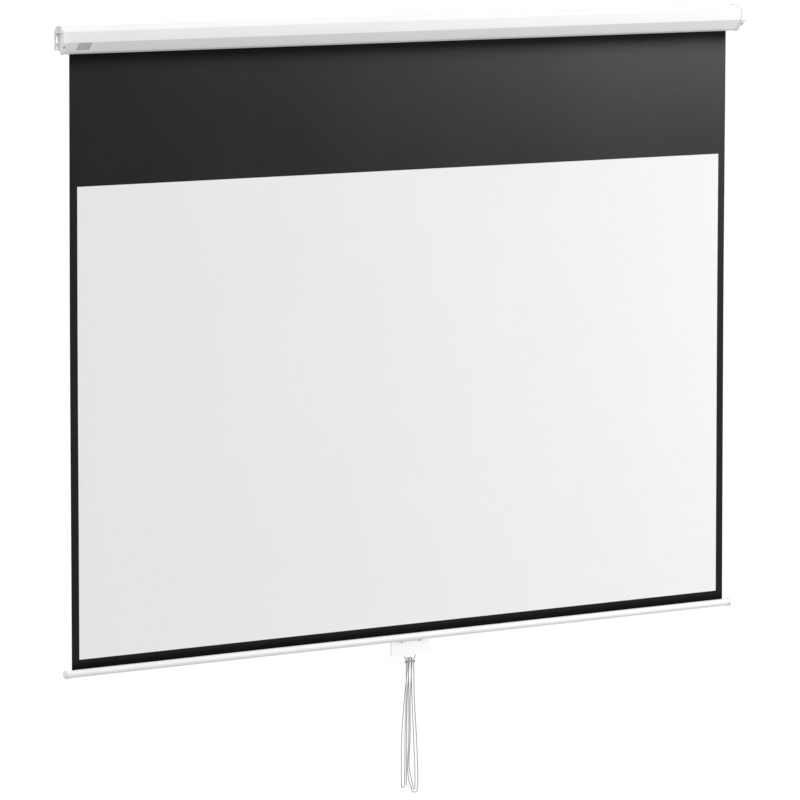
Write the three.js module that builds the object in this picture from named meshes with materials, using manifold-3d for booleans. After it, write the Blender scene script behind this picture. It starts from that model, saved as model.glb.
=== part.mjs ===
// A manual pull-down projection screen, hung on a wall and pulled right down.
// Millimetres, +Z up, +X to the right as seen from the front, which faces -Y. The wall is the plane y = 0.
// The origin is in the middle of the case's back, level with the tops of the two keyholes it hangs by.
import * as THREE from "three";
import { mergeVertices } from "three/addons/utils/BufferGeometryUtils.js";
import Module from "manifold-3d";

const wasm = await Module();
wasm.setup();

// Picture area and the fabric round it
const viewWidth = 2214;
const viewHeight = 1245;
const sideBorder = 24.5;
const bottomBorder = 25.4;
const blackDrop = 347;
const fabricThickness = 0.3;

// Clearances, how far a cut runs past what it cuts, and how near two corners are to be one
const seatGap = 0.3;
const runGap = 0.1;
const wrapGap = 0.1;
const cutOverrun = 5;
const mergeReach = 1e-4;

// Case section: a folded steel sheet, measured from the hanging line and forward from the wall
const caseTop = 25.6;
const caseDepth = 43.5;
const upperBevelDepth = 19.7;
const upperBevelHeight = 12.6;
const frontHeight = 28.5;
const lowerBevelDepth = 19.7;
const lowerBevelHeight = 26.5;
const lipDepth = 8.8;
const lipDrop = 4.8;
const backHeight = 61.6;
const rearLipDepth = 4.5;
const rearLipDrop = 5;
const sheetThickness = 0.8;
const foldRadius = 2.5;

// End caps
const capOverhang = 43.7;
const capLength = 17;
const capLip = 1.5;
const capWall = 2;
const capPlugLength = 12;
const capEndSlant = 17;
const capFoldRadius = 2;
const earThickness = 2.5;
const earSetBack = 2;
const earChamferWidth = 6;
const earChamferHeight = 13;
const keyHeadDiameter = 9;
const keySlotWidth = 5;
const keyHeight = 17.5;
const keySetBack = 9;
const earHoleDiameter = 6;
const earHoleDrop = 30;
const ribThickness = 2.5;
const ribHeight = 11;
const ribReach = 14;
const bossDiameter = 18;

// Screws
const screwShank = 2.8;
const screwHead = 6;
const screwHeadHeight = 1.6;
const flatHeadHeight = 0.7;
const screwCrownShare = 1 / 3;
const capScrewSetBack = 8;
const capScrewBelowRidge = 13.25;
const capScrewLength = 9;
const capScrewBoss = 7;
const shellScrewLength = 6;
const shellScrewSetBack = 7;
const shellScrewDepth = 14;

// Bare plate on the lower bevel
const plateWidth = 41;
const plateHeight = 23;
const plateThickness = 0.4;
const plateFromFabricEdge = 8.3;
const plateBelowRidge = 1;

// Roller
const tubeDiameter = 28;
const tubeWall = 0.8;
const tubeOverhang = 5;
const rollerDepth = 22.8;
const rollerDrop = 3;
const wrapThickness = 0.5;

// Idle end
const plugFlange = 3;
const plugLength = 24;
const pinDiameter = 6;
const pinInPlug = 18;
const bushDiameter = 12;
const bushLength = 14;
const bushFlange = 1.5;
const pinInBush = 12;

// Spring end
const shaftDiameter = 8;
const tangThickness = 5.6;
const hubLength = 20;
const holderDiameter = 13;
const holderLength = 14;
const holderFromHub = 7;
const collarDiameter = 17;
const collarLength = 12;
const springDiameter = 18;
const springBore = 13;
const springLength = 560;
const springPlugLength = 30;

// Lock: a notched wheel on the shaft and two pawls on the hub
const lockThickness = 3.4;
const lockGap = 0.6;
const wheelDiameter = 14.4;
const notchCount = 4;
const notchWidth = 4;
const notchDepth = 1.9;
const pawlPivotOut = 7.6;
const pawlEye = 5.2;
const pawlPinDiameter = 2.6;
const pawlPinHead = 4.4;
const pawlPinHeadHeight = 0.8;
const noseWidth = 2.8;
const noseLift = 0.5;
const noseRoot = 0.6;
const pawlArmTop = 2.5;
const pawlArmAngle = Math.PI / 9;

// Bottom bar
const barDiameter = 20;
const barWall = 1.2;
const barForward = 3.8;
const barOverhang = 16;
const barSlot = 1.6;
const rodDiameter = 4.4;
const barCapDiameter = 23;
const barCapLength = 8;
const barCapPlug = 14;
const barCapEdge = 1.5;
const barCapChamferShare = 1 / 3;

// Pull handle
const handleWidth = 132;
const handleDrop = 41;
const handleThickness = 6;
const handleBack = 4;
const handleTabWidth = 87;
const handleShoulder = 3;
const handleCorner = 6;
const handleScrewSpacing = 62;
const handleScrewDrop = 2.8;
const handleScrewHead = 4.6;
const handleScrewHeadHeight = 1.2;
const handleScrewShank = 2.4;
const bracketWidth = 80;
const bracketThickness = 1.2;
const bracketBelowScrew = 6;
const bracketUnderAxis = 4.3;
const bracketFoot = 5;

// Pull cord
const cordDiameter = 2.6;
const cordHoleSpacing = 37;
const cordHoleDiameter = 3.4;
const knotPocketWidth = 54;
const knotPocketHeight = 10;
const knotPocketDepth = 4.8;
const knotPocketAboveEdge = 8;
const knotWidth = 6;
const knotDepth = 3.8;
const tieDrop = 18;
const tieHeight = 6;
const tieThickness = 1.4;
const tieInnerWidth = 31;
const tieInnerDepth = 10.4;

// Counts for the cord's tube: places on a half round, steps on a long stretch, sides, and samples a point
const turnSteps = 8;
const runSteps = 3;
const longStretch = 8;
const cordSides = 6;
const samplesPerPoint = 40;

const fabricHalf = viewWidth / 2 + sideBorder;
const tubeRadius = tubeDiameter / 2;
const barRadius = barDiameter / 2;

// The places of the case's corners, as [y, z]
const frontTopZ = caseTop - upperBevelHeight;
const ridgeZ = frontTopZ - frontHeight;
const bevelLowZ = ridgeZ - lowerBevelHeight;
const lipZ = bevelLowZ - lipDrop;
const backLowZ = caseTop - backHeight;
const bevelLowY = lowerBevelDepth - caseDepth;
const lipY = bevelLowY + lipDepth;
const topFrontY = upperBevelDepth - caseDepth;

const rollerY = -rollerDepth;
const rollerZ = -rollerDrop;
const fabricFrontY = rollerY + tubeRadius + wrapGap + wrapThickness + wrapGap;
const fabricY = fabricFrontY + fabricThickness / 2;
const barTopZ = lipZ - blackDrop - viewHeight - bottomBorder;
const barY = fabricY - barForward;
const barZ = barTopZ - barRadius;
const handleY = fabricY + handleBack - handleThickness / 2;
const handleFromBar = handleY - barY;
const capEndX = fabricHalf + capOverhang;
const capFrontY = -caseDepth - capLip;
const capSlope = capEndSlant / -capFrontY;
const shellHalf = capEndX - capLength - seatGap;

const materials = {
  paintedSteel: new THREE.MeshStandardMaterial({ color: 0xe9eaea, roughness: 0.45, metalness: 0.1 }),
  whitePlastic: new THREE.MeshStandardMaterial({ color: 0xe6e7e6, roughness: 0.5, metalness: 0 }),
  greyPlate: new THREE.MeshStandardMaterial({ color: 0x9b9d9e, roughness: 0.5, metalness: 0.2 }),
  fabric: new THREE.MeshStandardMaterial({ color: 0xececec, roughness: 0.95, metalness: 0 }),
  steel: new THREE.MeshStandardMaterial({ color: 0x9a9da1, roughness: 0.35, metalness: 0.9 }),
  aluminium: new THREE.MeshStandardMaterial({ color: 0xb9bcc0, roughness: 0.4, metalness: 0.8 }),
  acetal: new THREE.MeshStandardMaterial({ color: 0x2d2e30, roughness: 0.5, metalness: 0 }),
  cord: new THREE.MeshStandardMaterial({ color: 0xd2d3d3, roughness: 0.85, metalness: 0 }),
};

// A closed geometry as a solid that can be joined and cut
function solidOf(geometry) {
  const bare = geometry.index ? geometry.toNonIndexed() : geometry.clone();
  bare.deleteAttribute("normal");
  bare.deleteAttribute("uv");
  const merged = mergeVertices(bare, mergeReach);
  return new wasm.Manifold(
    new wasm.Mesh({
      numProp: 3,
      vertProperties: merged.attributes.position.array,
      triVerts: new Uint32Array(merged.index.array),
    }),
  );
}

function geometryOf(solid) {
  const mesh = solid.getMesh();
  const geometry = new THREE.BufferGeometry();
  geometry.setAttribute("position", new THREE.BufferAttribute(mesh.vertProperties, 3));
  geometry.setIndex(new THREE.BufferAttribute(mesh.triVerts, 1));
  const shown = geometry.toNonIndexed();
  shown.computeVertexNormals();
  return shown;
}

// The same solid seen in a mirror at x = 0
function mirrored(geometry) {
  const flipped = geometry.clone().applyMatrix4(new THREE.Matrix4().makeScale(-1, 1, 1));
  const places = flipped.attributes.position.array;
  for (let i = 0; i < places.length; i += 9) {
    for (let k = 0; k < 3; k += 1) {
      const kept = places[i + 3 + k];
      places[i + 3 + k] = places[i + 6 + k];
      places[i + 6 + k] = kept;
    }
  }
  flipped.computeVertexNormals();
  return flipped;
}

const axesFor = {
  x: new THREE.Matrix4().makeBasis(
    new THREE.Vector3(0, 1, 0),
    new THREE.Vector3(0, 0, 1),
    new THREE.Vector3(1, 0, 0),
  ),
  y: new THREE.Matrix4().makeBasis(
    new THREE.Vector3(0, 0, 1),
    new THREE.Vector3(1, 0, 0),
    new THREE.Vector3(0, 1, 0),
  ),
  z: new THREE.Matrix4(),
};

// An outline pushed along an axis: points are [y, z] for x, [z, x] for y and [x, y] for z
function prism(axis, outline, from, to, holes = []) {
  const toPoints = (list) => list.map(([a, b]) => new THREE.Vector2(a, b));
  const shape = new THREE.Shape(toPoints(outline));
  for (const hole of holes) shape.holes.push(new THREE.Path(toPoints(hole)));
  const geometry = new THREE.ExtrudeGeometry(shape, { depth: to - from, bevelEnabled: false, steps: 1 });
  return geometry.translate(0, 0, from).applyMatrix4(axesFor[axis]);
}

// A rectangle as an outline, from its two corners
function rectangle(a, b, c, d) {
  return [
    [a, b],
    [c, b],
    [c, d],
    [a, d],
  ];
}

function circle(radius, sides, a = 0, b = 0) {
  return Array.from({ length: sides }, (_, i) => {
    const turn = (2 * Math.PI * i) / sides;
    return [a + radius * Math.cos(turn), b + radius * Math.sin(turn)];
  });
}

function arc(radius, fromTurn, toTurn, steps, a = 0, b = 0) {
  return Array.from({ length: steps + 1 }, (_, i) => {
    const turn = fromTurn + ((toTurn - fromTurn) * i) / steps;
    return [a + radius * Math.cos(turn), b + radius * Math.sin(turn)];
  });
}

// A round bar, or with a bore a tube, along an axis
function round(axis, radius, from, to, sides = 24, a = 0, b = 0, bore = 0) {
  const holes = bore > 0 ? [circle(bore, sides, a, b)] : [];
  return prism(axis, circle(radius, sides, a, b), from, to, holes);
}

// A profile of [x, radius] turned about the X axis: out along the inside and back along the outside
function turned(profile, sides = 32) {
  const points = profile.map(([x, radius]) => new THREE.Vector2(radius, x)).reverse();
  return new THREE.LatheGeometry(points, sides).rotateZ(-Math.PI / 2);
}

// Moves every edge of a closed outline outward by its own distance
function offsetOutline(points, distances) {
  const count = points.length;
  const lines = points.map(([a, b], i) => {
    const [c, d] = points[(i + 1) % count];
    const length = Math.hypot(c - a, d - b);
    const normal = [(d - b) / length, -(c - a) / length];
    const reach = normal[0] * a + normal[1] * b + distances[i];
    return { normal, reach };
  });
  return lines.map((line, i) => {
    const before = lines[(i + count - 1) % count];
    const det = before.normal[0] * line.normal[1] - before.normal[1] * line.normal[0];
    return [
      (before.reach * line.normal[1] - line.reach * before.normal[1]) / det,
      (line.reach * before.normal[0] - before.reach * line.normal[0]) / det,
    ];
  });
}

// Rounds the corners of an outline; an open one keeps its two ends
function filleted(points, radius, steps, closed) {
  const count = points.length;
  const out = [];
  points.forEach((corner, i) => {
    if (!closed && (i === 0 || i === count - 1)) {
      out.push(corner);
      return;
    }
    const here = new THREE.Vector2(...corner);
    const toBefore = new THREE.Vector2(...points[(i + count - 1) % count]).sub(here);
    const toAfter = new THREE.Vector2(...points[(i + 1) % count]).sub(here);
    const half = Math.abs(toBefore.angleTo(toAfter)) / 2;
    const room = Math.min(toBefore.length(), toAfter.length()) / 2;
    const cut = Math.min(radius / Math.tan(half), room);
    const start = toBefore.clone().setLength(cut).add(here);
    const end = toAfter.clone().setLength(cut).add(here);
    for (let k = 0; k <= steps; k += 1) {
      const t = k / steps;
      const keepShare = (1 - t) * (1 - t);
      const endShare = t * t;
      const cornerShare = 2 * t * (1 - t);
      out.push([
        start.x * keepShare + here.x * cornerShare + end.x * endShare,
        start.y * keepShare + here.y * cornerShare + end.y * endShare,
      ]);
    }
  });
  return out;
}

// The band between an open path and the same path moved to its left by a thickness
function strip(path, thickness) {
  const inner = path.map(([a, b], i) => {
    const before = path[Math.max(i - 1, 0)];
    const after = path[Math.min(i + 1, path.length - 1)];
    const into = new THREE.Vector2(a - before[0], b - before[1]);
    const away = new THREE.Vector2(after[0] - a, after[1] - b);
    if (into.length() === 0) into.copy(away);
    if (away.length() === 0) away.copy(into);
    into.normalize();
    away.normalize();
    const middle = into.clone().add(away).normalize();
    const reach = thickness / middle.dot(away);
    return [a - middle.y * reach, b + middle.x * reach];
  });
  return [...path, ...inner.reverse()];
}

function named(name, geometry, material) {
  const mesh = new THREE.Mesh(geometry, material);
  mesh.name = name;
  return mesh;
}

function groupAt(x, y, z, ...children) {
  const group = new THREE.Group();
  group.position.set(x, y, z);
  group.add(...children);
  return group;
}

// The corners of the case from the front lip round to the rear lip
const casePath = [
  [lipY, lipZ],
  [bevelLowY, bevelLowZ],
  [-caseDepth, ridgeZ],
  [-caseDepth, frontTopZ],
  [topFrontY, caseTop],
  [0, caseTop],
  [0, backLowZ],
  [-rearLipDepth, backLowZ - rearLipDrop],
].reverse();

// The same section closed across the slot, for the end caps
const closedSection = [
  [0, caseTop],
  [topFrontY, caseTop],
  [-caseDepth, frontTopZ],
  [-caseDepth, ridgeZ],
  [bevelLowY, bevelLowZ],
  [lipY, lipZ],
  [0, backLowZ],
];

function caseShell() {
  const path = filleted(casePath, foldRadius, 4, false);
  const shell = solidOf(prism("x", strip(path, sheetThickness), -shellHalf, shellHalf));
  const holeX = capEndX - capLength - shellScrewSetBack;
  const low = caseTop - cutOverrun;
  const high = caseTop + cutOverrun;
  const holes = [-holeX, holeX].map((x) =>
    solidOf(round("z", screwShank / 2 + seatGap, low, high, 16, x, -shellScrewDepth)),
  );
  return geometryOf(holes.reduce((body, hole) => body.subtract(hole), shell));
}

// Where the slanted end of a cap stands, from its outer end at x = 0, at a distance from the wall
const slantAt = (y) => (capFrontY - y) * capSlope;

// Everything outside the slanted end of a cap, moved inward along -X by an inset
function beyondSlant(inset) {
  const shift = inset * Math.hypot(1, capSlope);
  const front = capFrontY - cutOverrun;
  const back = cutOverrun;
  const at = (y) => slantAt(y) - shift;
  const far = capLength + cutOverrun;
  return solidOf(
    prism(
      "z",
      [
        [at(front), front],
        [far, front],
        [far, back],
        [at(back), back],
      ],
      lipZ - capLip - cutOverrun,
      caseTop + capLip + cutOverrun,
    ),
  );
}

// The direction square to the lower bevel, pointing out
const bevelNormal = new THREE.Vector3(0, -lowerBevelHeight, -lowerBevelDepth).normalize();

// A part that lies along Z, turned to stand square on the lower bevel at a distance below the ridge
function onLowerBevel(geometry, x, alongBevel, lift) {
  const turn = new THREE.Quaternion().setFromUnitVectors(new THREE.Vector3(0, 0, 1), bevelNormal);
  const down = new THREE.Vector3(0, lowerBevelDepth, -lowerBevelHeight).normalize();
  const place = new THREE.Vector3(x, -caseDepth, ridgeZ)
    .addScaledVector(down, alongBevel)
    .addScaledVector(bevelNormal, lift);
  const matrix = new THREE.Matrix4().compose(place, turn, new THREE.Vector3(1, 1, 1));
  return geometry.applyMatrix4(matrix);
}

// A wall ear: a flat plate behind the slanted end, with a keyhole, a round hole and a stiffening rib
function wallEar() {
  const outer = -earSetBack;
  const inner = -capLength;
  const top = caseTop + capLip;
  const plate = prism(
    "y",
    [
      [backLowZ, inner],
      [backLowZ, outer],
      [top - earChamferHeight, outer],
      [top, outer - earChamferWidth],
      [top, inner],
    ],
    -earThickness,
    0,
  );
  const headZ = -keyHeight + keyHeadDiameter / 2;
  const slotTopZ = -keySlotWidth / 2;
  const front = -earThickness - cutOverrun;
  const head = round("y", keyHeadDiameter / 2, front, cutOverrun, 24, headZ, -keySetBack);
  const slotEnd = round("y", keySlotWidth / 2, front, cutOverrun, 24, slotTopZ, -keySetBack);
  const slotSides = prism(
    "y",
    [
      [headZ, -keySetBack - keySlotWidth / 2],
      [headZ, -keySetBack + keySlotWidth / 2],
      [slotTopZ, -keySetBack + keySlotWidth / 2],
      [slotTopZ, -keySetBack - keySlotWidth / 2],
    ],
    front,
    cutOverrun,
  );
  const hole = round("y", earHoleDiameter / 2, front, cutOverrun, 20, -earHoleDrop, -keySetBack);
  const ribFront = -earThickness - ribReach / capSlope;
  const rib = prism(
    "z",
    [
      [inner, -earThickness],
      [slantAt(ribFront) - capWall, ribFront],
      [slantAt(ribFront), ribFront],
      [outer - earChamferWidth / 2, -earThickness],
    ],
    ribHeight - ribThickness / 2,
    ribHeight + ribThickness / 2,
  );
  return [head, slotEnd, slotSides, hole]
    .reduce((body, cut) => body.subtract(solidOf(cut)), solidOf(plate))
    .add(solidOf(rib));
}

// An end cap with its outer end at x = 0 and the case towards -X; the bore takes a bush or a holder
function endCap(boreDiameter, boreFrom) {
  const lips = closedSection.map((_, i) => (i === closedSection.length - 1 ? 0 : capLip));
  const insets = closedSection.map(() => -sheetThickness - seatGap);
  const hollows = closedSection.map(() => -sheetThickness - seatGap - capWall);
  const rounded = (distances) => filleted(offsetOutline(closedSection, distances), capFoldRadius, 3, true);
  const slantCut = beyondSlant(0);
  const outside = solidOf(prism("x", rounded(lips), -capLength, 0)).subtract(slantCut);
  const plug = solidOf(prism("x", rounded(insets), -capLength - capPlugLength, -capLength));
  const hollow = solidOf(
    prism("x", rounded(hollows), -capLength - capPlugLength - cutOverrun, 0),
  ).subtract(beyondSlant(capWall));
  const boss = solidOf(
    round("x", bossDiameter / 2, -capLength - capPlugLength, 0, 32, rollerY, rollerZ),
  ).subtract(slantCut);
  const bore = solidOf(
    round("x", boreDiameter / 2, -capLength - capPlugLength - cutOverrun, boreFrom, 32, rollerY, rollerZ),
  );
  const screwBoss = solidOf(
    onLowerBevel(
      round("z", capScrewBoss / 2, -capScrewLength - capWall, -sheetThickness, 16),
      -capScrewSetBack,
      capScrewBelowRidge,
      0,
    ),
  ).subtract(slantCut);
  const screwBore = solidOf(
    onLowerBevel(
      round("z", screwShank / 2 + seatGap, -capScrewLength, cutOverrun, 16),
      -capScrewSetBack,
      capScrewBelowRidge,
      0,
    ),
  );
  const topBore = solidOf(
    round(
      "z",
      screwShank / 2 + seatGap,
      caseTop - shellScrewLength - cutOverrun,
      caseTop,
      16,
      -capLength - shellScrewSetBack,
      -shellScrewDepth,
    ),
  );
  return geometryOf(
    outside
      .add(plug)
      .subtract(hollow)
      .add(boss)
      .add(screwBoss)
      .add(wallEar())
      .subtract(bore)
      .subtract(screwBore)
      .subtract(topBore),
  );
}

// A pan-head screw along Z with the seat of its head at z = 0
function panScrew(head, headHeight, shank, length) {
  const dome = [
    [0, -length],
    [shank / 2, -length],
    [shank / 2, seatGap],
    [head / 2, seatGap],
    [head / 2, seatGap + headHeight / 2],
    [head * screwCrownShare, seatGap + headHeight],
    [0, seatGap + headHeight],
  ].map(([radius, z]) => new THREE.Vector2(radius, z));
  return new THREE.LatheGeometry(dome, 16).rotateX(Math.PI / 2);
}

function capScrews() {
  return [-1, 1].map((side) => {
    const screw = panScrew(screwHead, screwHeadHeight, screwShank, capScrewLength - capLip);
    const placed = onLowerBevel(screw, side * (capEndX - capScrewSetBack), capScrewBelowRidge, capLip);
    return named(side < 0 ? "cap_screw_left" : "cap_screw_right", placed, materials.steel);
  });
}

function shellScrews() {
  return [-1, 1].map((side) => {
    const screw = panScrew(screwHead, flatHeadHeight, screwShank, shellScrewLength);
    const mesh = named(side < 0 ? "shell_screw_left" : "shell_screw_right", screw, materials.steel);
    mesh.position.set(side * (capEndX - capLength - shellScrewSetBack), -shellScrewDepth, caseTop);
    return mesh;
  });
}

function barePlate() {
  const plate = new THREE.BoxGeometry(plateWidth, plateHeight, plateThickness);
  const x = -fabricHalf + plateFromFabricEdge + plateWidth / 2;
  const along = plateBelowRidge + foldRadius / 2 + plateHeight / 2;
  const placed = onLowerBevel(plate, x, along, seatGap + plateThickness / 2);
  return named("label_plate", placed, materials.greyPlate);
}

// Places along the roller's own axis, counted from the middle
const tubeHalf = fabricHalf + tubeOverhang;
const flangeOuter = tubeHalf + seatGap + plugFlange;
const tubeBore = tubeRadius - tubeWall;
const bossInner = capEndX - capLength - capPlugLength;
const bushOuter = bossInner + seatGap + bushLength;
const bushBoreFrom = bushOuter + seatGap - capEndX;
const lockInner = flangeOuter + lockGap;
const lockOuter = lockInner + lockThickness;
const holderInner = flangeOuter + holderFromHub;
const holderOuter = holderInner + holderLength;
const holderBoreFrom = holderOuter + seatGap - capEndX;

// A plug for an end of the tube, with a flange against the tube's end
function tubePlug(length, boreRadius) {
  return solidOf(
    turned([
      [tubeHalf - length, boreRadius],
      [flangeOuter, boreRadius],
      [flangeOuter, tubeRadius - seatGap],
      [tubeHalf + seatGap, tubeRadius - seatGap],
      [tubeHalf + seatGap, tubeBore - seatGap],
      [tubeHalf - length, tubeBore - seatGap],
      [tubeHalf - length, boreRadius],
    ]),
  );
}

function rollerTube() {
  return named(
    "roller_tube",
    round("x", tubeRadius, -tubeHalf, tubeHalf, 32, 0, 0, tubeBore),
    materials.aluminium,
  );
}

function fabricWraps() {
  const inner = tubeRadius + wrapGap;
  return named(
    "fabric_wraps",
    round("x", inner + wrapThickness, -fabricHalf, fabricHalf, 32, 0, 0, inner),
    materials.fabric,
  );
}

function idleEnd() {
  const plug = mirrored(geometryOf(tubePlug(plugLength, pinDiameter / 2 + runGap)));
  const pin = round("x", pinDiameter / 2, -bossInner - pinInBush, -tubeHalf + pinInPlug, 24);
  return [
    named("idle_plug", plug, materials.acetal),
    named("idle_pin", pin, materials.steel),
  ];
}

function idleBush() {
  const radius = bushDiameter / 2;
  const flanged = turned([
    [bossInner - seatGap - bushFlange, pinDiameter / 2 + runGap],
    [bushOuter - bushFlange, pinDiameter / 2 + runGap],
    [bushOuter - bushFlange, 0],
    [bushOuter, 0],
    [bushOuter, radius],
    [bossInner - seatGap, radius],
    [bossInner - seatGap, radius + bushFlange],
    [bossInner - seatGap - bushFlange, radius + bushFlange],
    [bossInner - seatGap - bushFlange, pinDiameter / 2 + runGap],
  ]);
  return named("idle_bush", mirrored(geometryOf(solidOf(flanged))), materials.acetal);
}

// The shaft's flat tang, wider by a clearance all round for what it passes through
function tangSection(clearance) {
  const halfWidth = tangThickness / 2 + clearance;
  const reach = Math.sqrt((shaftDiameter / 2) ** 2 - (tangThickness / 2) ** 2) + clearance;
  return [
    [-halfWidth, -reach],
    [halfWidth, -reach],
    [halfWidth, reach],
    [-halfWidth, reach],
  ];
}

const collarOuter = tubeHalf - hubLength - seatGap;
const springOuter = collarOuter - collarLength - seatGap;
const springInner = springOuter - springLength;
const springPlugOuter = springInner - seatGap;
const springPlugInner = springPlugOuter - springPlugLength;

function springShaft() {
  const rod = solidOf(round("x", shaftDiameter / 2, springPlugInner, flangeOuter, 24));
  const tang = solidOf(prism("x", tangSection(0), flangeOuter - shaftDiameter, holderOuter - seatGap));
  return named("spring_shaft", geometryOf(rod.add(tang)), materials.steel);
}

function springParts() {
  const bore = shaftDiameter / 2 + runGap;
  const collar = round("x", collarDiameter / 2, collarOuter - collarLength, collarOuter, 24, 0, 0, bore);
  const spring = round("x", springDiameter / 2, springInner, springOuter, 24, 0, 0, springBore / 2);
  return [
    named("spring_collar", collar, materials.steel),
    named("torsion_spring", spring, materials.steel),
  ];
}

function springPlug() {
  const bore = shaftDiameter / 2 + runGap;
  const plug = round("x", tubeBore - seatGap, springPlugInner, springPlugOuter, 32, 0, 0, bore);
  return named("spring_plug", plug, materials.acetal);
}

function shaftHolder() {
  const holder = round("x", holderDiameter / 2, holderInner, holderOuter, 32);
  const socket = prism("x", tangSection(runGap), holderInner - cutOverrun, holderOuter - seatGap / 2);
  return named("shaft_holder", geometryOf(solidOf(holder).subtract(solidOf(socket))), materials.steel);
}

function ratchetWheel() {
  const radius = wheelDiameter / 2;
  const notch = prism(
    "x",
    [
      [-notchWidth / 2, radius - notchDepth],
      [notchWidth / 2, radius - notchDepth],
      [notchWidth / 2, radius + notchDepth],
      [-notchWidth / 2, radius + notchDepth],
    ],
    lockInner - cutOverrun,
    lockOuter + cutOverrun,
  );
  let wheel = solidOf(round("x", radius, lockInner, lockOuter, 48)).subtract(
    solidOf(prism("x", tangSection(runGap), lockInner - cutOverrun, lockOuter + cutOverrun)),
  );
  for (let i = 0; i < notchCount; i += 1) {
    const turn = (2 * Math.PI * i) / notchCount;
    wheel = wheel.subtract(solidOf(notch.clone().rotateX(turn)));
  }
  return named("ratchet_wheel", geometryOf(wheel), materials.steel);
}

// The hub in the tube's end, with holes for the two pawl pins
function lockHub() {
  let hub = tubePlug(hubLength, shaftDiameter / 2 + runGap);
  for (const side of [-1, 1]) {
    const out = side * pawlPivotOut;
    const hole = round(
      "x",
      pawlPinDiameter / 2 + runGap,
      tubeHalf - plugFlange,
      flangeOuter + cutOverrun,
      16,
      out,
      out,
    );
    hub = hub.subtract(solidOf(hole));
  }
  return named("lock_hub", geometryOf(hub), materials.acetal);
}

// A pawl lifted clear of the wheel: an eye on the pin, an arm and a nose over the top notch
function pawlOutline() {
  const noseLow = wheelDiameter / 2 + noseLift;
  const eye = pawlEye / 2;
  const armUnderTurn = Math.PI + Math.asin(noseRoot / eye) + pawlArmAngle;
  return [
    [-noseWidth / 2, noseLow],
    [noseWidth / 2, noseLow],
    [noseWidth / 2, noseLow + noseRoot],
    ...arc(eye, armUnderTurn, (5 * Math.PI) / 2, 14, pawlPivotOut, pawlPivotOut),
    [-noseWidth / 2, pawlPivotOut + pawlArmTop],
  ];
}

function pawlParts() {
  return [-1, 1].map((side) => {
    const word = side > 0 ? "upper" : "lower";
    const bore = circle(pawlPinDiameter / 2 + runGap, 16, pawlPivotOut, pawlPivotOut);
    const pawl = named(
      "lock_pawl_" + word,
      prism("x", pawlOutline(), lockInner, lockOuter, [bore]),
      materials.steel,
    );
    const pinLength = lockOuter - tubeHalf + plugFlange;
    const rivet = panScrew(pawlPinHead, pawlPinHeadHeight, pawlPinDiameter, pinLength - seatGap);
    const pin = named("pawl_pin_" + word, rivet.rotateY(Math.PI / 2), materials.steel);
    pin.position.set(lockOuter, pawlPivotOut, pawlPivotOut);
    const pair = groupAt(0, 0, 0, pawl, pin);
    if (side < 0) pair.rotation.x = Math.PI;
    return pair;
  });
}

// The hanging fabric, from the back of the roller down into the bar's slot
const rodOut = barRadius - barWall - rodDiameter / 2 - seatGap;
const rodRise = Math.sqrt(rodOut ** 2 - barForward ** 2);
const fabricLowZ = barZ + rodRise + rodDiameter / 2 + seatGap;

function screenFabric() {
  const height = rollerZ - fabricLowZ;
  const sheet = new THREE.BoxGeometry(2 * fabricHalf, fabricThickness, height);
  const mesh = named("screen_fabric", sheet, materials.fabric);
  mesh.position.set(0, fabricY, fabricLowZ + height / 2);
  return mesh;
}

// The bar about its own axis: a tube with a slot for the fabric in its top and one for the bracket below
function bottomBar() {
  const half = fabricHalf + barOverhang;
  const tube = solidOf(round("x", barRadius, -half, half, 40, 0, 0, barRadius - barWall));
  const slot = prism(
    "x",
    rectangle(barForward - barSlot / 2, 0, barForward + barSlot / 2, barRadius + cutOverrun),
    -half - cutOverrun,
    half + cutOverrun,
  );
  const bracketRoom = bracketThickness / 2 + seatGap;
  const bracketHalf = bracketWidth / 2 + seatGap;
  const bracketSlot = prism(
    "x",
    rectangle(
      handleFromBar - bracketRoom,
      -barRadius - cutOverrun,
      handleFromBar + bracketRoom,
      -bracketUnderAxis,
    ),
    -bracketHalf,
    bracketHalf,
  );
  const body = tube.subtract(solidOf(slot)).subtract(solidOf(bracketSlot));
  return named("bottom_bar", geometryOf(body), materials.paintedSteel);
}

function hemRod() {
  const rod = named(
    "hem_rod",
    round("x", rodDiameter / 2, -fabricHalf, fabricHalf, 12),
    materials.acetal,
  );
  rod.position.set(0, barForward, rodRise);
  return rod;
}

// A bar cap: a disc with an eased rim outside the tube and a plug inside it, short of the rod
function barCaps() {
  const seat = fabricHalf + barOverhang + seatGap;
  const radius = barCapDiameter / 2;
  const plugRadius = barRadius - barWall - seatGap;
  const cap = geometryOf(
    solidOf(
      turned([
        [seat - barCapPlug, 0],
        [seat + barCapLength, 0],
        [seat + barCapLength, radius - barCapEdge],
        [seat + barCapLength - barCapEdge * barCapChamferShare, radius - barCapEdge * barCapChamferShare],
        [seat + barCapLength - barCapEdge, radius],
        [seat, radius],
        [seat, plugRadius],
        [seat - barCapPlug, plugRadius],
        [seat - barCapPlug, 0],
      ]),
    ),
  );
  return [
    named("bar_cap_left", mirrored(cap), materials.whitePlastic),
    named("bar_cap_right", cap, materials.whitePlastic),
  ];
}

// The handle about the middle of its plate, with z counted from the bar's axis
const handleTopZ = -barRadius - handleShoulder;
const handleLowZ = -barRadius - handleDrop;
const handleScrewZ = -barRadius - handleScrewDrop;
const bracketLowZ = handleScrewZ - bracketBelowScrew;
const pocketLowZ = handleLowZ + knotPocketAboveEdge;
const handleHalfThick = handleThickness / 2;

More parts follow.
